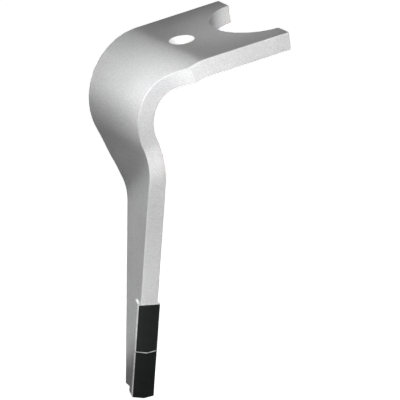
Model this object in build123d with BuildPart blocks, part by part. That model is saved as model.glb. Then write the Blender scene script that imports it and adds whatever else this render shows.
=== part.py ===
from build123d import *
from math import cos, radians, sin, tan
import os

# Power harrow tine, in millimetres. The mounting plate lies flat with its top face at z = 0, and the origin is the
# centre of the pin hole on that face. +X runs along the plate to the forked end, -Y is the leading side of the tine,
# and the blade hangs down from the bend on the -X side.

# mounting plate
plate_width = 110.0
plate_thickness = 15.0
fork_reach = 67.8
bend_line = 9.2
pin_hole_diameter = 20.0
notch_radius = 38.5
notch_centre = 71.0
prong_corner_radius = 1.2

# bends of the bar, with radii on its outer surface
bend_radius = 52.0
bend_angle = 110.0
neck_length = 5.0
return_radius = 48.0
return_angle = 33.0
inner_return_radius = 74.0

# blade, from the end of the return bend
blade_thickness = 16.0
blade_length = 167.5
lead = 15.9
tip_slope = 14.0

# leading edge of the flat blank: distances past the bend line, and from the centre line
shoulder_start = 17.7
shoulder_end = 42.7
shoulder_lead = 30.0
taper_end = 107.5
shoulder_fillet = 53.0
taper_fillet = 135.0

# trailing edge of the flat blank, in the same distances
waist_start = 117.3
waist_end = 144.5
waist_trail = 17.2
tip_trail = -0.7
waist_fillet = 30.0
heel_fillet = 23.8
trail_relief = 0.4

# tile seat, with its distance down the blade taken at the leading face
seat_top = 100.3
seat_depth = 5.8
seat_overhang = 2.1
end_slope = 34.0
pocket_depth = 1.65

# carbide tiles
upper_tile_length = 37.7
lower_tile_length = 36.8
ridge_height = 1.65
braze_gap = 0.3
seam_gap = 0.5

cut_margin = 4.0
run_out = 12.0
wrap_steps = 36

half_width = plate_width / 2
blade_angle = bend_angle - return_angle
seat_width = blade_thickness + 2 * seat_overhang
end_rise = tan(radians(end_slope))
tip_rise = tan(radians(tip_slope))
upper_tile_top = seat_top + braze_gap
lower_tile_top = upper_tile_top + upper_tile_length + seam_gap
seat_bottom = lower_tile_top + lower_tile_length
beyond = half_width + 3 * cut_margin
past_tip = seat_bottom + cut_margin

# The inner line of the blade lies one blade thickness behind its outer line, so the straight between the two inner
# arcs comes out of that and the two radii.
return_half_turn = tan(radians(return_angle / 2))
corner_shift = (blade_thickness - plate_thickness * cos(radians(return_angle))) / sin(radians(return_angle))
inner_neck_length = neck_length + (return_radius - inner_return_radius) * return_half_turn + corner_shift

# outer and inner surfaces of the bar, seen from the side with x along the plate and y up
with BuildLine() as outer_path:
    bend = JernArc((-bend_line, 0), (-1, 0), bend_radius, bend_angle)
    neck = Line(bend @ 1, bend @ 1 + (bend % 1) * neck_length)
    turn = JernArc(neck @ 1, neck % 1, return_radius, -return_angle)
    outer_blade = Line(turn @ 1, turn @ 1 + (turn % 1) * seat_bottom)
inward = Vector(sin(radians(blade_angle)), -cos(radians(blade_angle)))
with BuildLine() as inner_path:
    inner_bend = JernArc((-bend_line, -plate_thickness), (-1, 0), bend_radius - plate_thickness, bend_angle)
    inner_neck = Line(inner_bend @ 1, inner_bend @ 1 + (inner_bend % 1) * inner_neck_length)
    inner_turn = JernArc(inner_neck @ 1, inner_neck % 1, inner_return_radius, -return_angle)
    Line(inner_turn @ 1, outer_blade @ 1 + inward * blade_thickness)

outer_wire = outer_path.wire()
blade_start = bend.length + neck.length + turn.length


def station(distance):
    """Plane square to the bar: x across the tine, y into its thickness, z along the bar towards the tip."""
    point = outer_wire.position_at(distance, position_mode=PositionMode.LENGTH)
    travel = outer_wire.tangent_at(distance, position_mode=PositionMode.LENGTH)
    return Plane(origin=(point.X, 0, point.Y), x_dir=(0, 1, 0), z_dir=(travel.X, 0, travel.Y))


# planes of the blade: square to it, and along its outer face with y up the blade and z into its thickness
blade_section = station(blade_start)
blade_flank = Plane(origin=blade_section.origin, x_dir=(0, 1, 0), z_dir=blade_section.y_dir)


def edge_waste(outline, side):
    """What is trimmed off one side of the flat blank, wrapped round the bends; side is -1 leading, 1 trailing.

    The outline runs on past the wrapped stretch, so that the end of the loft, where it is least true, is cut away.
    """
    with BuildPart() as waste:
        for step in range(wrap_steps + 1):
            point = outline @ (step / wrap_steps)
            with BuildSketch(station(point.X)):
                with Locations((side * (point.Y + beyond) / 2, blade_thickness / 2)):
                    Rectangle(beyond - point.Y, blade_thickness + 2 * cut_margin)
        loft()
        split(bisect_by=station(wrap_end), keep=Keep.BOTTOM)
    return waste.part


def sloped(front, distance):
    """Point of the blade's flank, on a line that drops towards the leading side at the slope of the tile ends."""
    return (-front, -distance - (front - lead) * end_rise)


def sloped_block(front, back, top, bottom):
    """Outline on the flank between two sloped ends, from a front to a back distance off the centre line."""
    Polygon(sloped(front, top), sloped(back, top), sloped(back, bottom), sloped(front, bottom), align=None)


# side edges of the flat blank
shoulder_taper = (half_width - shoulder_lead) / (shoulder_end - shoulder_start)
trail_taper = (waist_trail - tip_trail) / (blade_start + blade_length - waist_end)
wrap_end = waist_end + heel_fillet
wrapped = wrap_end - blade_start
wrapped_trail = waist_trail - heel_fillet * trail_taper
with BuildLine() as leading_edge:
    FilletPolyline(
        (shoulder_start - cut_margin, half_width + cut_margin * shoulder_taper),
        (shoulder_end, shoulder_lead),
        (taper_end, lead),
        (wrap_end + run_out, lead),
        radius=[shoulder_fillet, taper_fillet],
    )
with BuildLine() as trailing_edge:
    FilletPolyline(
        (waist_start - 2 * waist_fillet, half_width + trail_relief),
        (waist_start, half_width - trail_relief),
        (waist_end, waist_trail),
        (wrap_end + run_out, wrapped_trail - run_out * trail_taper),
        radius=[waist_fillet, heel_fillet],
    )
leading_waste = edge_waste(leading_edge.wire(), -1)
trailing_waste = edge_waste(trailing_edge.wire(), 1)

# forged body
with BuildPart() as tine_body:
    with BuildSketch(Plane.XZ):
        with BuildLine():
            Polyline((-bend_line, 0), (fork_reach, 0), (fork_reach, -plate_thickness), (-bend_line, -plate_thickness))
            add(outer_path.line)
            add(inner_path.line)
            Line(outer_path.line @ 1, inner_path.line @ 1)
        make_face()
    extrude(amount=half_width, both=True)
    add(leading_waste, mode=Mode.SUBTRACT)
    add(trailing_waste, mode=Mode.SUBTRACT)
    # straight edges and sloped tip of the blade
    with BuildSketch(blade_flank.offset(-cut_margin)):
        Polygon((-lead, -wrapped), (-beyond, -wrapped), (-beyond, -past_tip), (-lead, -past_tip), align=None)
        Polygon(
            (wrapped_trail, -wrapped),
            (beyond, -wrapped),
            (beyond, -past_tip),
            (-lead, -past_tip),
            (-lead, -blade_length - (lead + tip_trail) * tip_rise),
            (tip_trail, -blade_length),
            align=None,
        )
    extrude(amount=blade_thickness + 2 * cut_margin, mode=Mode.SUBTRACT)
    # wider seat for the tiles, and its pocket
    with BuildSketch(blade_flank.offset(-seat_overhang)):
        sloped_block(lead, lead - seat_depth, seat_top, seat_bottom)
    extrude(amount=seat_width)
    with BuildSketch(blade_flank.offset(-seat_overhang - cut_margin)):
        sloped_block(lead + cut_margin, lead - pocket_depth, seat_top, seat_bottom + cut_margin)
    extrude(amount=seat_width + 2 * cut_margin, mode=Mode.SUBTRACT)
    Hole(pin_hole_diameter / 2)
    with Locations((notch_centre, 0)):
        Hole(notch_radius)
    fillet(tine_body.edges().filter_by(Axis.Z).group_by(Axis.X)[-1], prong_corner_radius)
tine_body.part.label = "tine_body"


def carbide_tile(name, top, bottom):
    """Brazed tile with a ridged face and sloped ends, between two distances down the blade."""
    tile_width = seat_width - 2 * braze_gap
    tile_back = lead - pocket_depth + braze_gap
    with BuildPart() as tile:
        with BuildSketch(blade_flank.offset(braze_gap - seat_overhang)):
            sloped_block(lead + ridge_height, tile_back, top, bottom)
        extrude(amount=tile_width)
        with BuildSketch(blade_section):
            with Locations((0, blade_thickness / 2)):
                Polygon(
                    (-tile_back, -tile_width / 2),
                    (-lead, -tile_width / 2),
                    (-lead - ridge_height, 0),
                    (-lead, tile_width / 2),
                    (-tile_back, tile_width / 2),
                    align=None,
                )
        extrude(amount=past_tip, mode=Mode.INTERSECT)
    tile.part.label = name
    return tile.part


upper_carbide_tile = carbide_tile("upper_carbide_tile", upper_tile_top, upper_tile_top + upper_tile_length)
lower_carbide_tile = carbide_tile("lower_carbide_tile", lower_tile_top, seat_bottom)

# braze behind, above and beside the tiles, and in the seam between them up to their ridge
with BuildPart() as braze_joint:
    with BuildSketch(blade_flank.offset(-seat_overhang)):
        sloped_block(lead, lead - pocket_depth, seat_top, seat_bottom)
    extrude(amount=seat_width)
    add(carbide_tile("seam", upper_tile_top + upper_tile_length, lower_tile_top))
    add(upper_carbide_tile, mode=Mode.SUBTRACT)
    add(lower_carbide_tile, mode=Mode.SUBTRACT)
braze_joint.part.label = "braze_joint"

os.makedirs("parts", exist_ok=True)
export_step(tine_body.part, "parts/tine_body.step")
export_step(upper_carbide_tile, "parts/upper_carbide_tile.step")
export_step(lower_carbide_tile, "parts/lower_carbide_tile.step")
export_step(braze_joint.part, "parts/braze_joint.step")
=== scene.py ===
from math import asin, cos, pi, radians, sin, tan

import bmesh
import bpy
from mathutils import Matrix, Vector
from mathutils.bvhtree import BVHTree


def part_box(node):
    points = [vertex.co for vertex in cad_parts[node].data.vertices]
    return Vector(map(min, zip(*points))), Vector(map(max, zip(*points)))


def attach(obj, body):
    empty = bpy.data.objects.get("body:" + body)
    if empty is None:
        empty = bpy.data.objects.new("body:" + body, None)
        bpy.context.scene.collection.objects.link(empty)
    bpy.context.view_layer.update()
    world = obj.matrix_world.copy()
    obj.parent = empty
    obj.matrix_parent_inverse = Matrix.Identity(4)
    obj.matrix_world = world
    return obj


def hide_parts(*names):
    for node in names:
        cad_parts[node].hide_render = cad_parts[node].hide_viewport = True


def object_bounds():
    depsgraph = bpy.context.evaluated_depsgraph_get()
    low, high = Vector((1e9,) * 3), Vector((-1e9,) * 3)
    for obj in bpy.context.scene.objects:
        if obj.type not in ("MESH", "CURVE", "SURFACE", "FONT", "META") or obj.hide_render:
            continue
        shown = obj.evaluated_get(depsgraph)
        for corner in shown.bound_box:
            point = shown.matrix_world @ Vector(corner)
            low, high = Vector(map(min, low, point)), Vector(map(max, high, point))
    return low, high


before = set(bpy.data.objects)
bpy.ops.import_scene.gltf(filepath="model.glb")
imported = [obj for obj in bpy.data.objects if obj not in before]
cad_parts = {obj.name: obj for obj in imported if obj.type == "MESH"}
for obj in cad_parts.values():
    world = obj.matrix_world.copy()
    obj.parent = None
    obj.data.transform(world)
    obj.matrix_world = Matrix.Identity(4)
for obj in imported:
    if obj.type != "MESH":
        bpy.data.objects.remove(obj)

# Power harrow tine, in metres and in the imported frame: the mounting plate lies flat with its top face at
# z = 0, the origin is the centre of the pin hole, +X runs to the fork, and -Y is the leading side that
# carries the wear tiles. The steel is drawn as a flat blank, cut to thickness and then bent. In the blank,
# x is the distance along the bar past the bend line, y runs across the bar as in the frame, and z is the
# height above its outer face.

bl_info = {
    "name": "Power Harrow Tine",
    "version": (1, 0, 0),
    "blender": (4, 5, 0),
    "location": "View3D > Sidebar > Tine",
    "description": "Builds a forged power harrow tine with brazed carbide wear tiles",
    "category": "Object",
}

CAD_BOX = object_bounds()
BODY_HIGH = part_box("tine_body")[1]
ROOT = "root"

# How finely the mesh work measures.
SAME_POINT = 1e-6  # points this near to each other are one
ROUNDED_POINT = 5e-6  # the same, among rounded edges
ON_PLANE = 1e-7  # points this near to a cutting plane lie on it
SLIVER = 1 / 8  # rounded edges shorter than this share of their radius go
SKIN = 0.0005  # the bar's thickness is read from this far under its outer face
OFF_CENTRE = 0.3  # and this share of the way from the centre line to the leading face

# Angles between the faces of an edge.
ONE_FACE = radians(0.5)  # faces that turn by less are one
SMOOTH = radians(40)  # edges that turn by less are shaded smooth
BODY_SHARP = radians(55)  # edges of the body that turn by more are rounded
TILE_SHARP = radians(25)  # the same for the tiles and the braze

# Steps round each arc.
BEND_STEPS = 72
NOTCH_STEPS = 72
PIN_HOLE_STEPS = 64
PRONG_STEPS = 4
SHOULDER_STEPS = 16
TAPER_STEPS = 10
HEEL_STEPS = 12
WAIST_STEPS = 16
EDGE_STEPS = 3

# Sizes of the patterns, in blotches to the metre.
BLASTING = 1500.0
SCRATCHES = 1100.0
TARNISH = 45.0
CARBIDE_GRAIN = 1500.0
PRESSING = 260.0
BRAZE_GRAIN = 1800.0
BRAZE_RUNS = 380.0

# Drawn-out marks: how their direction is turned from upright, and how many times longer than wide they are.
GRINDING = (radians(-30), radians(-21), 0)
STREAK_LENGTH = 3
SCRATCH_LENGTH = 40
PRESSING_LENGTH = 5

SCRATCH_CUT = 0.76  # the pattern of scratches shows where it is over this

# How near to a face a point is painted as part of it.
BORE_REACH = 0.0002
BLADE_REACH = 0.0003
SEAM_REACH = 0.0004
SHOULDER_REACH = 0.0005

WHITE = (1, 1, 1, 1)
FLOOR_SEEN = (0.8, 0.8, 0.8, 1)
FLOOR_BOUNCE = (0.55, 0.55, 0.55, 1)

# Directions to the right and up in the picture, the picture's middle along them from the origin, and how far
# back the camera stands.
CAMERA_RIGHT = Vector((0.84952, -0.51216, -0.12652))
CAMERA_UP = Vector((0.27568, 0.22649, 0.93419))
MIDDLE_RIGHT = 0.01478
MIDDLE_UP = -0.12753
CAMERA_DISTANCE = 2.0

LAMPS = (
    # name, what it is aimed at, azimuth, elevation, distance, width, power and the spread that its grid
    # leaves, then, where the box isn't a level square, its roll and its height
    ("key", (-0.01, 0, -0.10), 8, 5, 1.0, 0.4, 10.2, 180),
    ("back", (-0.04, 0, -0.03), -170, 35, 0.3, 0.14, 0.122, 180),
    ("bend front", (-0.045, -0.03, -0.02), 0, 0, 0.5, 0.06, 0.0202, 24),
    ("plate side", (0.02, -0.05, -0.008), -80, 0, 0.5, 0.06, 0.0500, 24),
    ("plate top", (0.02, -0.05, -0.008), -80, 20, 0.5, 0.06, 0.0269, 24),
    ("blade front", (-0.085, -0.01, -0.22), 0, 0, 0.5, 0.06, 0.0149, 24),
    ("bend low", (-0.045, 0.008, -0.02), -140, 10, 0.5, 0.06, 0.0228, 22),
    ("bend middle", (-0.045, 0, -0.02), -140, 35, 0.5, 0.06, 0.0130, 22),
    ("bend high", (-0.047, 0, -0.012), -90, 70, 0.2, 0.13, 0.0105, 4, 0, 0.07),
    ("blade", (-0.081, 0, -0.166), -90, 45, 0.45, 0.106, 0.0290, 4, 29),
    ("neck side", (-0.044, -0.027, -0.087), 20, 0, 0.5, 0.01, 0.0009, 4),
    ("kink", (-0.023, -0.053, -0.011), -75, -35, 0.4, 0.02, 0.0005, 3.4),
    ("fork", (0.064, 0.04, -0.008), -15, -25, 0.5, 0.02, 0.0023, 4),
    ("bore", (0.003, 0.007, -0.008), -28, -50, 0.22, 0.014, 0.0008, 3),
    ("prongs", (0.055, 0, 0), -90, 60, 0.5, 0.02, 0.0082, 14),
)


def size(name, default, description):
    """A length that a user may change."""
    return bpy.props.FloatProperty(
        name=name, description=description, default=default, unit="LENGTH", precision=5,
    )


def turn(name, default, description):
    """An angle that a user may change, written in degrees."""
    return bpy.props.FloatProperty(
        name=name, description=description, default=radians(default), unit="ROTATION",
    )


def number(name, default, description):
    """A plain number that a user may change."""
    return bpy.props.FloatProperty(name=name, description=description, default=default, precision=4)


def colour(name, default, description):
    """A linear colour that a user may change."""
    return bpy.props.FloatVectorProperty(
        name=name, description=description, default=default, size=3, subtype="COLOR", min=0, max=1,
    )


class TINE_PG_bar(bpy.types.PropertyGroup):
    """The bar, its bends and the outline of the flat blank."""

    half_width: size("Half width", BODY_HIGH.y, "Half of the mounting plate's width")
    reach: size("Reach", BODY_HIGH.x, "From the pin hole to the ends of the prongs")
    bend_line: size("Bend line", 0.0092, "From the pin hole back to the start of the bend")
    thickness: size("Plate thickness", 0.015, "Thickness of the plate and the bend")
    blade_thickness: size("Blade thickness", 0.016, "Thickness of the blade")
    bend_radius: size("Bend radius", 0.052, "Radius of the bend on its outer face")
    bend_angle: turn("Bend angle", 110, "How far the bar turns down")
    neck: size("Neck", 0.005, "Straight stretch between the two bends")
    return_radius: size("Return radius", 0.048, "Radius of the return bend on the outer face")
    return_angle: turn("Return angle", 33, "How far the bar turns back")
    pin_hole: size("Pin hole", 0.020, "Diameter of the pin hole")
    notch_radius: size("Notch radius", 0.0385, "Radius of the notch between the prongs")
    notch_centre: size("Notch centre", 0.071, "From the pin hole to the centre of the notch")
    prong_corner: size("Prong corners", 0.0012, "Radius of the prongs' upright corners")
    edge: size("Edge radius", 0.0007, "Rounding of the forging's edges")
    blade_length: size("Blade length", 0.1675, "From the return bend to the tip, on the trailing side")
    lead: size("Lead", 0.0159, "From the centre line to the leading face of the blade")
    tip_slope: turn("Tip slope", 14, "Slope of the tip, down towards the leading side")
    shoulder_start: size("Shoulder start", 0.0177, "Where the leading edge leaves the full width")
    shoulder_end: size("Shoulder end", 0.0427, "Where the leading edge turns along the taper")
    shoulder_lead: size("Shoulder lead", 0.030, "Centre line to the leading edge at the shoulder's end")
    shoulder_fillet: size("Shoulder fillet", 0.053, "Radius at the shoulder's end")
    taper_end: size("Taper end", 0.1075, "Where the leading edge turns parallel")
    taper_fillet: size("Taper fillet", 0.135, "Radius at the taper's end")
    waist_start: size("Waist start", 0.1173, "Where the trailing edge turns in")
    waist_fillet: size("Waist fillet", 0.030, "Radius where the trailing edge turns in")
    waist_end: size("Waist end", 0.1445, "Where the trailing edge turns down the blade")
    waist_trail: size("Waist trail", 0.0172, "Centre line to the trailing edge at the waist's end")
    heel_fillet: size("Heel fillet", 0.0238, "Radius at the waist's end")
    tip_trail: size("Tip trail", -0.0007, "Centre line to the trailing edge at the tip")
    trail_relief: size("Trail relief", 0.0004, "How far the trailing edge draws in before the waist")


class TINE_PG_tiles(bpy.types.PropertyGroup):
    """The tile seat and its tiles."""

    seat_top: size("Seat top", 0.1003, "From the return bend to the top of the seat, on the leading face")
    seat_depth: size("Seat depth", 0.0058, "Depth of the widened seat behind the leading face")
    overhang: size("Overhang", 0.0021, "How far the seat stands out on each side of the blade")
    end_slope: turn("End slope", 34, "Slope of the seat's and tiles' ends, down towards the leading side")
    pocket: size("Pocket", 0.00165, "Depth of the pocket under the tiles")
    seat_length: size("Seat length", 0.0753, "Length of the seat down the blade")
    seam: size("Seam", 0.13885, "From the return bend to the seam between the tiles, on the leading face")
    tile_edge: size("Tile edges", 0.00025, "Rounding of the tiles' edges")
    braze_edge: size("Braze edges", 0.00008, "Rounding of the braze's edges")


class TINE_PG_finish(bpy.types.PropertyGroup):
    """Colours, gloss, edge rubbing, and painted highlights and shade."""

    steel: colour("Steel", (0.385, 0.385, 0.385), "Blasted forged steel")
    steel_rough: number("Steel roughness", 0.40, "Roughness of the steel")
    steel_metal: number("Steel lustre", 0.15, "How far the blasted steel shines like bare metal")
    bore_metal: number("Bore lustre", 0.6, "How much more the pin hole's wall shines like bare metal")
    # Painted highlight and shade on edges: those that look up are lightened towards this colour, those that
    # look down are darkened, and every edge gets a little rubbing.
    edge_highlight_and_scuff: colour("Rubbed edges", (0.54, 0.54, 0.54), "Steel where an edge is rubbed bright")
    edge_light_and_scuff: number("Edge wear", 30.0, "How strongly the edges are rubbed")
    edge_light_width: size("Wear width", 0.0016, "How far the wear reaches from an edge")
    level_edge_light: number("Level wear", 0.15, "Wear where an edge looks level; one that looks up has 1 more")
    # Painted highlight: a near-white colour on the pin hole's bare-steel wall and on the seat's shoulder.
    bore: colour("Bore", (0.92, 0.92, 0.92), "Bare steel of the pin hole's wall and the seat's shoulder")
    carbide: colour("Upper carbide", (0.0055, 0.0062, 0.0061), "Sintered carbide of the upper tile")
    lower_carbide: colour("Lower carbide", (0.0025, 0.003, 0.003), "Sintered carbide of the lower tile")
    carbide_rough: number("Carbide roughness", 0.42, "Roughness of both tiles")
    braze: colour("Braze", (0.62, 0.62, 0.615), "Silver braze")
    braze_rough: number("Braze roughness", 0.35, "Roughness of the braze")


class TINE_PG_stage(bpy.types.PropertyGroup):
    """Camera, floor and light."""

    frame_width: size("Frame width", 0.3182, "Width of the picture at the tine")
    floor_reach: size("Floor reach", 4.0, "Half of the floor's width")
    floor_glow: number("Floor glow", 0.92, "White that the floor adds to the light on it, where it is seen")
    ambient: number("Ambient", 0.1, "Strength of the light from all round")


def directions(heading):
    """Direction of travel and direction into the bar, where it has turned down by that angle."""
    return Vector((-cos(heading), 0, -sin(heading))), Vector((sin(heading), 0, -cos(heading)))


class Bend:
    """The bar's outer line: straight plate, bend, neck, return bend and straight blade."""

    def __init__(self, bar):
        self.bar = bar
        self.runs = (
            (bar.bend_radius * bar.bend_angle, 1 / bar.bend_radius),
            (bar.neck, 0.0),
            (bar.return_radius * bar.return_angle, -1 / bar.return_radius),
        )
        self.blade_start = sum(length for length, _ in self.runs)
        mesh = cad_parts["tine_body"].data
        self.steel = BVHTree.FromPolygons(
            [vertex.co for vertex in mesh.vertices], [face.vertices for face in mesh.polygons],
        )

    def at(self, distance):
        """Point on the outer line, direction of travel and direction into the bar."""
        point = Vector((-self.bar.bend_line, 0, 0))
        heading = 0.0
        left = distance
        for length, curvature in self.runs:
            step = min(max(left, 0.0), length)
            travel, inward = directions(heading)
            if curvature and step:
                radius = 1 / curvature
                centre = point + inward * radius
                heading += step * curvature
                point = centre - directions(heading)[1] * radius
            else:
                point = point + travel * step
            left -= step
            if step < length:
                break
        travel, inward = directions(heading)
        return point + travel * left, travel, inward

    def thickness(self, distance):
        """The bar's thickness there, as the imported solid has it."""
        if distance <= 0:
            return self.bar.thickness
        if distance >= self.blade_start:
            return self.bar.blade_thickness
        point, _, inward = self.at(distance)
        probe = point + Vector((0, -OFF_CENTRE * self.bar.lead, 0))
        return self.steel.ray_cast(probe + inward * SKIN, inward)[3] + SKIN

    def place(self, spot, fitted):
        """Moves a point of the blank to the bent bar; fitted scales its height to the thickness there."""
        point, _, inward = self.at(spot.x)
        depth = -spot.z
        if fitted:
            depth *= self.thickness(spot.x) / self.bar.thickness
        return point + inward * depth + Vector((0, spot.y, 0))


def run_wire(bm, corners):
    """Draws a flat wire through corners, each x, y and, where it is filleted, a radius and its steps."""
    places = [Vector((x, y, 0)) for x, y, *_ in corners]
    last = None
    for index, (_, _, *fillet) in enumerate(corners):
        start = places[index]
        if fillet:
            radius, steps = fillet
            back = (places[index - 1] - start).normalized()
            ahead = (places[(index + 1) % len(places)] - start).normalized()
            corner = pi - back.angle(ahead)
            centre = start + (back + ahead).normalized() * (radius / cos(corner / 2))
            side = 1 if ahead.cross(back).z > 0 else -1
            start = start + back * (radius * tan(corner / 2))
        vertex = bm.verts.new(start)
        if last:
            bm.edges.new((last, vertex))
        last = vertex
        if fillet:
            swept = bmesh.ops.spin(
                bm, geom=[vertex], cent=centre, axis=(0, 0, side), angle=corner, steps=steps,
            )
            last = swept["geom_last"][0]
    return last


def sloped(bend, tiles, inset, distance):
    """Place in the blank, that far behind the leading face, on a line with the slope of the tile ends."""
    return bend.blade_start + distance - inset * tan(tiles.end_slope), inset - bend.bar.lead


def draw_outline(bm, bend, tiles):
    """Draws the blank's edge: from the notch down the leading side, round the tip and back to the notch."""
    bar = bend.bar
    plate_end = -bar.bend_line - bar.reach
    notch_x = -bar.bend_line - bar.notch_centre
    mouth = asin((bar.notch_centre - bar.reach) / bar.notch_radius)
    mouth_half = bar.notch_radius * cos(mouth)
    arc_start = mouth + 2 * bar.prong_corner / bar.notch_radius
    arc_x = notch_x + bar.notch_radius * sin(arc_start)
    arc_y = bar.notch_radius * cos(arc_start)
    tip = bend.blade_start + bar.blade_length
    in_pocket = bar.lead - tiles.pocket
    last = run_wire(bm, [
        (arc_x, -arc_y),
        (plate_end, -mouth_half, bar.prong_corner, PRONG_STEPS),
        (plate_end, -bar.half_width, bar.prong_corner, PRONG_STEPS),
        (bar.shoulder_start, -bar.half_width),
        (bar.shoulder_end, -bar.shoulder_lead, bar.shoulder_fillet, SHOULDER_STEPS),
        (bar.taper_end, -bar.lead, bar.taper_fillet, TAPER_STEPS),
        sloped(bend, tiles, 0, tiles.seat_top),
        sloped(bend, tiles, tiles.pocket, tiles.seat_top),
        (tip + (in_pocket + bar.tip_trail) * tan(bar.tip_slope), -in_pocket),
        (tip, bar.tip_trail),
        (bar.waist_end, bar.waist_trail, bar.heel_fillet, HEEL_STEPS),
        (bar.waist_start, bar.half_width - bar.trail_relief, bar.waist_fillet, WAIST_STEPS),
        (bar.waist_start - bar.waist_fillet, bar.half_width),
        (plate_end, bar.half_width, bar.prong_corner, PRONG_STEPS),
        (plate_end, mouth_half, bar.prong_corner, PRONG_STEPS),
        (arc_x, arc_y),
    ])
    bmesh.ops.spin(
        bm, geom=[last], cent=(notch_x, 0, 0), axis=(0, 0, -1), angle=pi - 2 * arc_start, steps=NOTCH_STEPS,
    )
    bmesh.ops.remove_doubles(bm, verts=bm.verts[:], dist=SAME_POINT)


def draw_pin_hole(bm, bar):
    """Draws the pin hole in the blank."""
    bmesh.ops.create_circle(
        bm, cap_ends=False, segments=PIN_HOLE_STEPS, radius=bar.pin_hole / 2,
        matrix=Matrix.Translation((-bar.bend_line, 0, 0)),
    )


def thicken(bm, height):
    """Fills the flat outline and draws it down to a solid of that height."""
    bmesh.ops.triangle_fill(bm, use_beauty=True, edges=bm.edges[:])
    inner = [edge for edge in bm.edges if len(edge.link_faces) == 2]
    bmesh.ops.dissolve_limit(bm, angle_limit=ONE_FACE, verts=[], edges=inner)
    drawn = bmesh.ops.extrude_face_region(bm, geom=bm.faces[:])
    moved = [item for item in drawn["geom"] if isinstance(item, bmesh.types.BMVert)]
    bmesh.ops.translate(bm, verts=moved, vec=(0, 0, -height))
    bmesh.ops.recalc_face_normals(bm, faces=bm.faces[:])


def divide(bm, length):
    """Cuts the blank across at even steps of the length that bends."""
    for step in range(BEND_STEPS + 1):
        bmesh.ops.bisect_plane(
            bm, geom=bm.verts[:] + bm.edges[:] + bm.faces[:], dist=ON_PLANE,
            plane_co=(length * step / BEND_STEPS, 0, 0), plane_no=(1, 0, 0),
        )


def carry(bm, bend, fitted=False):
    """Carries a solid of the blank to its place on the bent bar."""
    for vertex in bm.verts:
        vertex.co = bend.place(vertex.co, fitted)
    bmesh.ops.recalc_face_normals(bm, faces=bm.faces[:])


def bent_blank(bend, tiles):
    """The plate, the bends and the blade in one."""
    bm = bmesh.new()
    draw_outline(bm, bend, tiles)
    draw_pin_hole(bm, bend.bar)
    thicken(bm, bend.bar.thickness)
    divide(bm, bend.blade_start)
    carry(bm, bend, fitted=True)
    return bm


def seat_block(bend, tiles):
    """The widened tile seat: a block with sloped ends that stands out on both sides of the blade."""
    bm = bmesh.new()
    seat_bottom = tiles.seat_top + tiles.seat_length
    last = run_wire(bm, [
        sloped(bend, tiles, tiles.pocket, tiles.seat_top),
        sloped(bend, tiles, tiles.pocket, seat_bottom),
        sloped(bend, tiles, tiles.seat_depth, seat_bottom),
        sloped(bend, tiles, tiles.seat_depth, tiles.seat_top),
    ])
    bm.verts.ensure_lookup_table()
    bm.edges.new((last, bm.verts[0]))
    thicken(bm, bend.bar.blade_thickness + 2 * tiles.overhang)
    bmesh.ops.translate(bm, verts=bm.verts[:], vec=(0, 0, tiles.overhang))
    carry(bm, bend)
    return bm


def joined(bm, other):
    """Unites two closed shapes into the first and frees the other."""
    shapes = []
    for shape in (bm, other):
        mesh = bpy.data.meshes.new("shape")
        shape.to_mesh(mesh)
        shapes.append(bpy.data.objects.new("shape", mesh))
        bpy.context.scene.collection.objects.link(shapes[-1])
    union = shapes[0].modifiers.new("Union", "BOOLEAN")
    union.operation = "UNION"
    union.solver = "EXACT"
    union.object = shapes[1]
    whole = shapes[0].evaluated_get(bpy.context.evaluated_depsgraph_get())
    bm.clear()
    bm.from_mesh(whole.to_mesh())
    whole.to_mesh_clear()
    other.free()
    for shape in shapes:
        mesh = shape.data
        bpy.data.objects.remove(shape)
        bpy.data.meshes.remove(mesh)


def round_edges(bm, radius, sharp):
    """Rounds each edge that turns by more than the sharp angle."""
    edges = [edge for edge in bm.edges if edge.is_manifold and edge.calc_face_angle() > sharp]
    bmesh.ops.bevel(
        bm, geom=edges, offset=radius, offset_type="OFFSET", segments=EDGE_STEPS, profile=0.5,
        affect="EDGES", clamp_overlap=False, material=-1,
    )
    bmesh.ops.remove_doubles(bm, verts=bm.verts[:], dist=ROUNDED_POINT)
    bmesh.ops.dissolve_degenerate(bm, edges=bm.edges[:], dist=radius * SLIVER)


def finished(bm, name, material, node):
    """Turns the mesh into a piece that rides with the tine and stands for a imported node."""
    mesh = bpy.data.meshes.new(name)
    bm.to_mesh(mesh)
    bm.free()
    mesh.materials.append(material)
    piece = bpy.data.objects.new(name, mesh)
    bpy.context.scene.collection.objects.link(piece)
    for polygon in mesh.polygons:
        polygon.use_smooth = True
    mesh.set_sharp_from_angle(angle=SMOOTH)
    weighted = piece.modifiers.new("Flat faces stay flat", "WEIGHTED_NORMAL")
    weighted.keep_sharp = True
    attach(piece, ROOT)
    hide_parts(node)


def tile_piece(node, name, material, radius):
    """A tile or the braze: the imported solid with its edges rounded."""
    bm = bmesh.new()
    bm.from_mesh(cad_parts[node].data)
    bmesh.ops.remove_doubles(bm, verts=bm.verts[:], dist=SAME_POINT)
    bmesh.ops.dissolve_limit(bm, angle_limit=ONE_FACE, verts=bm.verts[:], edges=bm.edges[:])
    round_edges(bm, radius, TILE_SHARP)
    finished(bm, name, material, node)


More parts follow.
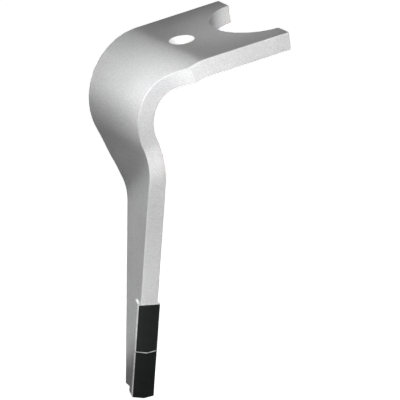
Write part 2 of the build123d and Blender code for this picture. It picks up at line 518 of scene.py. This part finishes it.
class Value:
    """Wraps a socket, so that shader maths reads as an expression."""

    def __init__(self, shader, socket):
        self.shader = shader
        self.socket = socket

    def _math(self, operation, *values):
        return self.shader.node("ShaderNodeMath", {"operation": operation}, *values)

    def __add__(self, other):
        return self._math("ADD", self, other)

    def __radd__(self, other):
        return self._math("ADD", other, self)

    def __sub__(self, other):
        return self._math("SUBTRACT", self, other)

    def __rsub__(self, other):
        return self._math("SUBTRACT", other, self)

    def __mul__(self, other):
        return self._math("MULTIPLY", self, other)

    def __rmul__(self, other):
        return self._math("MULTIPLY", other, self)

    def above(self, limit):
        """1 where the value is over the limit, else 0."""
        return self._math("GREATER_THAN", self, limit)

    def below(self, limit):
        """1 where the value is under the limit, else 0."""
        return self._math("LESS_THAN", self, limit)

    def near(self, target, reach):
        """1 where the value is that close to the target, else 0."""
        return self._math("COMPARE", self, target, reach)

    def swing(self, width):
        """A value from 0 to 1, turned into one about 0 that swings over that width."""
        return (self - 0.5) * width

    def dot(self, direction):
        """The vector's reach in a direction."""
        return self.shader.node(
            "ShaderNodeVectorMath", {"operation": "DOT_PRODUCT"}, self, direction, out="Value",
        )


class Shader:
    """The nodes of a material or of the world."""

    def __init__(self, owner):
        owner.use_nodes = True
        self.tree = owner.node_tree
        self.tree.nodes.clear()
        self.output = self.tree.nodes.new(f"ShaderNodeOutput{owner.bl_rna.name}")

    @property
    def place(self):
        """Where a point is on the tine."""
        return self.node("ShaderNodeTexCoord", out="Object")

    def node(self, kind, setup=None, *values, out=0, **named):
        """Adds a node with its settings, then its inputs by order or by name, and returns one output."""
        made = self.tree.nodes.new(kind)
        for key, value in (setup or {}).items():
            setattr(made, key, value)
        for key, value in [*enumerate(values), *named.items()]:
            socket = made.inputs[key] if isinstance(key, int) else self.found(made.inputs, key)
            if isinstance(value, Value):
                self.tree.links.new(value.socket, socket)
            else:
                socket.default_value = value
        return Value(self, made.outputs[out] if isinstance(out, int) else self.found(made.outputs, out))

    @staticmethod
    def found(sockets, key):
        """The socket of that name, or of that identifier where several share a name."""
        for socket in sockets:
            if socket.identifier == key:
                return socket
        return sockets[key.replace("_", " ")]

    def noise(self, place, scale, detail):
        """A cloudy value from 0 to 1, with that many blotches to the metre."""
        return self.node("ShaderNodeTexNoise", {}, Vector=place, Scale=scale, Detail=detail)

    def relief(self, height, depth, strength=1.0):
        """A normal for small ups and downs, from a height and the depth in metres that 1 of it means."""
        return self.node("ShaderNodeBump", {}, Strength=strength, Distance=depth, Height=height)

    def mix(self, amount, first, second):
        """A colour between two, each of them a Value or three numbers."""
        first, second = (end if isinstance(end, Value) else (*end, 1) for end in (first, second))
        return self.node(
            "ShaderNodeMix", {"data_type": "RGBA"}, out="Result_Color", Factor_Float=amount,
            A_Color=first, B_Color=second,
        )

    def tones(self, amount, base, darkest, lightest):
        """A colour between two shades of one, which are given as shares of it."""
        return self.mix(amount, [darkest * c for c in base], [lightest * c for c in base])

    def background_seen(self):
        """1 for the rays that show the background: the camera's, and those off metal or through glass."""
        camera, glossy, through = (
            self.node("ShaderNodeLightPath", out=f"Is {ray} Ray")
            for ray in ("Camera", "Glossy", "Transmission")
        )
        return camera + glossy + through

    def surface(self, shader):
        """Makes the shader the surface, or the world's background."""
        self.tree.links.new(shader.socket, self.output.inputs["Surface"])


def new_material(name):
    """An empty node material and its shader."""
    material = bpy.data.materials.new(name)
    return material, Shader(material)


def along(s, stretch):
    """Object coordinates drawn out along the grinding direction, down and towards the leading side."""
    return s.node(
        "ShaderNodeMapping", {"vector_type": "TEXTURE"},
        Vector=s.place, Rotation=GRINDING, Scale=(1, 1, stretch),
    )


def end_plane(bend, tiles, distance):
    """Square direction and level of a plane that slopes like the tile ends, that far down the blade."""
    start, down, _ = bend.at(bend.blade_start)
    square = down * cos(tiles.end_slope) + Vector((0, sin(tiles.end_slope), 0))
    return square, square.dot(start + down * distance - Vector((0, bend.bar.lead, 0)))


def painted_edge_light_and_scuff(s, finish):
    """How far an edge is lightened: over 0, a painted highlight over a little rubbing, where it looks up or
    level, and under 0, painted shade, where it looks down.
    """
    rounded = s.node("ShaderNodeBevel", {"samples": 6}, Radius=finish.edge_light_width)
    facing = s.node("ShaderNodeNewGeometry", out="Normal")
    edge = 1.0 - rounded.dot(facing)
    upward = s.node("ShaderNodeSeparateXYZ", {}, facing, out="Z")
    return edge * (upward + finish.level_edge_light) * finish.edge_light_and_scuff


def bore_wall(s, bar):
    """1 on the wall of the pin hole, else 0."""
    across = s.node("ShaderNodeVectorMath", {"operation": "MULTIPLY"}, s.place, (1, 1, 0))
    from_axis = s.node("ShaderNodeVectorMath", {"operation": "LENGTH"}, across, out="Value")
    return from_axis.below(bar.pin_hole / 2 + BORE_REACH)


def shoulder_highlight(s, bend, tiles):
    """1 on the seat's top end, where it stands out from the blade and a highlight is painted, else 0."""
    start, _, inward = bend.at(bend.blade_start)
    square, level = end_plane(bend, tiles, tiles.seat_top)
    middle = bend.bar.blade_thickness / 2
    standing_out = 1.0 - s.place.dot(inward).near(inward.dot(start) + middle, middle + BLADE_REACH)
    return s.place.dot(square).near(level, SHOULDER_REACH) * standing_out


def steel_material(bend, tiles, finish):
    """Blasted forged steel: pits, grinding streaks and scratches, with a near-white painted highlight on the
    bare steel of the pin hole's wall and on the seat's shoulder.

    Edges get a painted highlight where they look up and painted shade where they look down, over a little
    rubbing that lightens every edge.
    """
    material, s = new_material("forged steel")
    pits = s.noise(s.place, BLASTING, detail=2.0)
    streaks = s.noise(along(s, STREAK_LENGTH), BLASTING, detail=1.0)
    clouds = s.noise(s.place, TARNISH, detail=2.0)
    scratch = s.noise(along(s, SCRATCH_LENGTH), SCRATCHES, detail=0.0).above(SCRATCH_CUT)
    # Painted highlight on edges that look up and painted shade on those that look down, over a little rubbing
    # of every edge.
    edge_light_and_scuffs = painted_edge_light_and_scuff(s, finish)
    tone = pits.swing(1.3) + streaks.swing(1.3) + clouds.swing(0.2) + 0.5 - scratch * 0.3 + edge_light_and_scuffs
    steel_with_edge_light = s.mix(edge_light_and_scuffs, s.tones(tone, finish.steel, 0.8, 1.2), finish.edge_highlight_and_scuff)
    # Near-white painted highlight on the pin hole's wall, which is bare steel, and on the seat's shoulder.
    bore = bore_wall(s, bend.bar)
    s.surface(s.node(
        "ShaderNodeBsdfPrincipled", {},
        Base_Color=s.mix(bore + shoulder_highlight(s, bend, tiles), steel_with_edge_light, finish.bore),
        Metallic=bore * finish.bore_metal + finish.steel_metal,
        Specular_IOR_Level=0.0,
        Roughness=streaks.swing(0.12) + clouds.swing(0.08) + finish.steel_rough,
        Normal=s.relief(pits * 0.5 + streaks * 0.6 - scratch * 0.1, depth=0.0006),
    ))
    return material


def carbide_material(name, base, finish):
    """Black sintered carbide: a very fine grain and faint pressing marks."""
    material, s = new_material(name)
    grain = s.noise(s.place, CARBIDE_GRAIN, detail=2.0)
    marks = s.noise(along(s, PRESSING_LENGTH), PRESSING, detail=2.0)
    s.surface(s.node(
        "ShaderNodeBsdfPrincipled", {},
        Base_Color=s.tones(grain.swing(0.8) + marks.swing(0.8) + 0.5, base, 0.6, 1.4),
        Specular_IOR_Level=0.055,
        Roughness=marks.swing(0.2) + finish.carbide_rough,
        Normal=s.relief(grain * 0.5 + marks, depth=0.0002, strength=0.4),
    ))
    return material


def braze_material(bend, tiles, finish):
    """Silver braze that has run smooth, with mottled flux marks, and dull in the seam between the tiles."""
    material, s = new_material("silver braze")
    runs = s.noise(s.place, BRAZE_RUNS, detail=2.0)
    grain = s.noise(s.place, BRAZE_GRAIN, detail=1.0)
    square, level = end_plane(bend, tiles, tiles.seam)
    seam = s.place.dot(square).near(level, SEAM_REACH)
    tone = runs.swing(0.8) + grain.swing(0.4) + 0.8 - seam * 0.6
    s.surface(s.node(
        "ShaderNodeBsdfPrincipled", {},
        Base_Color=s.tones(tone, finish.braze, 0.15, 1.2),
        Metallic=0.3,
        Specular_IOR_Level=0.0,
        Roughness=runs.swing(0.3) + finish.braze_rough,
        Normal=s.relief(runs, depth=0.0002, strength=0.5),
    ))
    return material


def floor_material(stage):
    """White where it is seen, apart from the tine's shadow, and pale in the light that it gives back."""
    material, s = new_material("floor")
    white = s.node(
        "ShaderNodeAddShader", {},
        s.node("ShaderNodeBsdfDiffuse", {}, Color=FLOOR_SEEN),
        s.node("ShaderNodeEmission", {}, Color=WHITE, Strength=stage.floor_glow),
    )
    pale = s.node("ShaderNodeBsdfDiffuse", {}, Color=FLOOR_BOUNCE)
    s.surface(s.node("ShaderNodeMixShader", {}, s.background_seen(), pale, white))
    return material


def add_floor(stage):
    """A wide level floor under the tine's lowest point."""
    bm = bmesh.new()
    bmesh.ops.create_grid(
        bm, x_segments=1, y_segments=1, size=stage.floor_reach,
        matrix=Matrix.Translation((0, 0, CAD_BOX[0].z)),
    )
    mesh = bpy.data.meshes.new("floor")
    bm.to_mesh(mesh)
    bm.free()
    mesh.materials.append(floor_material(stage))
    floor = bpy.data.objects.new("floor", mesh)
    bpy.context.scene.collection.objects.link(floor)


def add_backdrop(stage):
    """A world that is white where it is seen and lights the tine faintly from all round."""
    world = bpy.data.worlds.new("studio")
    bpy.context.scene.world = world
    s = Shader(world)
    s.surface(s.node(
        "ShaderNodeMixShader", {}, s.background_seen(),
        s.node("ShaderNodeBackground", {}, Color=WHITE, Strength=stage.ambient),
        s.node("ShaderNodeBackground", {}, Color=WHITE, Strength=1.0),
    ))


def add_lamp(name, aim, azimuth, elevation, distance, width, power, spread, roll=0, height=None):
    """A soft box, unseen itself; at azimuth 0 it faces the leading side, and at 90 the ends of the prongs."""
    lamp = bpy.data.lights.new(name, "AREA")
    lamp.energy = power
    lamp.shape = "RECTANGLE"
    lamp.size = width
    lamp.size_y = height or width
    lamp.spread = radians(spread)
    soft_box = bpy.data.objects.new(name, lamp)
    bpy.context.scene.collection.objects.link(soft_box)
    side, rise = radians(azimuth), radians(elevation)
    away = Vector((sin(side) * cos(rise), -cos(side) * cos(rise), sin(rise)))
    soft_box.location = Vector(aim) + away * distance
    facing = away.to_track_quat("Z", "Y").to_matrix() @ Matrix.Rotation(radians(roll), 3, "Z")
    soft_box.rotation_euler = facing.to_euler()
    soft_box.visible_camera = False


def add_camera(stage):
    """A camera with a parallel view of the outer face of the bend and the leading side."""
    scene = bpy.context.scene
    camera = bpy.data.objects.new("camera", bpy.data.cameras.new("camera"))
    scene.collection.objects.link(camera)
    back = CAMERA_RIGHT.cross(CAMERA_UP)
    middle = CAMERA_RIGHT * MIDDLE_RIGHT + CAMERA_UP * MIDDLE_UP
    stand = Matrix((CAMERA_RIGHT, CAMERA_UP, back)).transposed().to_4x4()
    stand.translation = middle + back * CAMERA_DISTANCE
    camera.matrix_world = stand
    camera.data.type = "ORTHO"
    camera.data.ortho_scale = stage.frame_width
    scene.camera = camera


class TINE_OT_forge(bpy.types.Operator):
    """Cut the blank, bend it and join the tile seat"""

    bl_idname = "tine.forge"
    bl_label = "Forge the body"

    def execute(self, context):
        scene = context.scene
        bend = Bend(scene.tine_bar)
        body = bent_blank(bend, scene.tine_tiles)
        joined(body, seat_block(bend, scene.tine_tiles))
        round_edges(body, scene.tine_bar.edge, BODY_SHARP)
        steel = steel_material(bend, scene.tine_tiles, scene.tine_finish)
        finished(body, "forged_body", steel, "tine_body")
        return {"FINISHED"}


class TINE_OT_braze(bpy.types.Operator):
    """Set both tiles in their pocket with braze"""

    bl_idname = "tine.braze"
    bl_label = "Braze the tiles"

    def execute(self, context):
        scene = context.scene
        tiles, finish = scene.tine_tiles, scene.tine_finish
        for end, base in (("upper", finish.carbide), ("lower", finish.lower_carbide)):
            carbide = carbide_material(f"{end} carbide", base, finish)
            tile_piece(f"{end}_carbide_tile", f"{end}_tile", carbide, tiles.tile_edge)
        braze = braze_material(Bend(scene.tine_bar), tiles, finish)
        tile_piece("braze_joint", "braze_bead", braze, tiles.braze_edge)
        return {"FINISHED"}


class TINE_OT_stage(bpy.types.Operator):
    """Set the floor, the lights and the camera"""

    bl_idname = "tine.stage"
    bl_label = "Set the stage"

    def execute(self, context):
        stage = context.scene.tine_stage
        add_camera(stage)
        add_backdrop(stage)
        add_floor(stage)
        for lamp in LAMPS:
            add_lamp(*lamp)
        context.scene.view_settings.view_transform = "Standard"
        return {"FINISHED"}


class TINE_PT_panel(bpy.types.Panel):
    """Lists the tine's steps"""

    bl_idname = "TINE_PT_panel"
    bl_label = "Power Harrow Tine"
    bl_space_type = "VIEW_3D"
    bl_region_type = "UI"
    bl_category = "Tine"

    def draw(self, context):
        for operator in OPERATORS:
            self.layout.operator(operator.bl_idname)


GROUPS = {
    "tine_bar": TINE_PG_bar,
    "tine_tiles": TINE_PG_tiles,
    "tine_finish": TINE_PG_finish,
    "tine_stage": TINE_PG_stage,
}
OPERATORS = (TINE_OT_forge, TINE_OT_braze, TINE_OT_stage)


def register():
    """Adds the tine's classes and settings to Blender."""
    for cls in (*GROUPS.values(), *OPERATORS, TINE_PT_panel):
        bpy.utils.register_class(cls)
    for name, group in GROUPS.items():
        setattr(bpy.types.Scene, name, bpy.props.PointerProperty(type=group))


def unregister():
    """Takes them out again."""
    for name in GROUPS:
        delattr(bpy.types.Scene, name)
    for cls in reversed((*GROUPS.values(), *OPERATORS, TINE_PT_panel)):
        bpy.utils.unregister_class(cls)


def main():
    """Builds the tine on its stage."""
    register()
    bpy.ops.tine.forge()
    bpy.ops.tine.braze()
    bpy.ops.tine.stage()


if __name__ == "__main__":
    main()
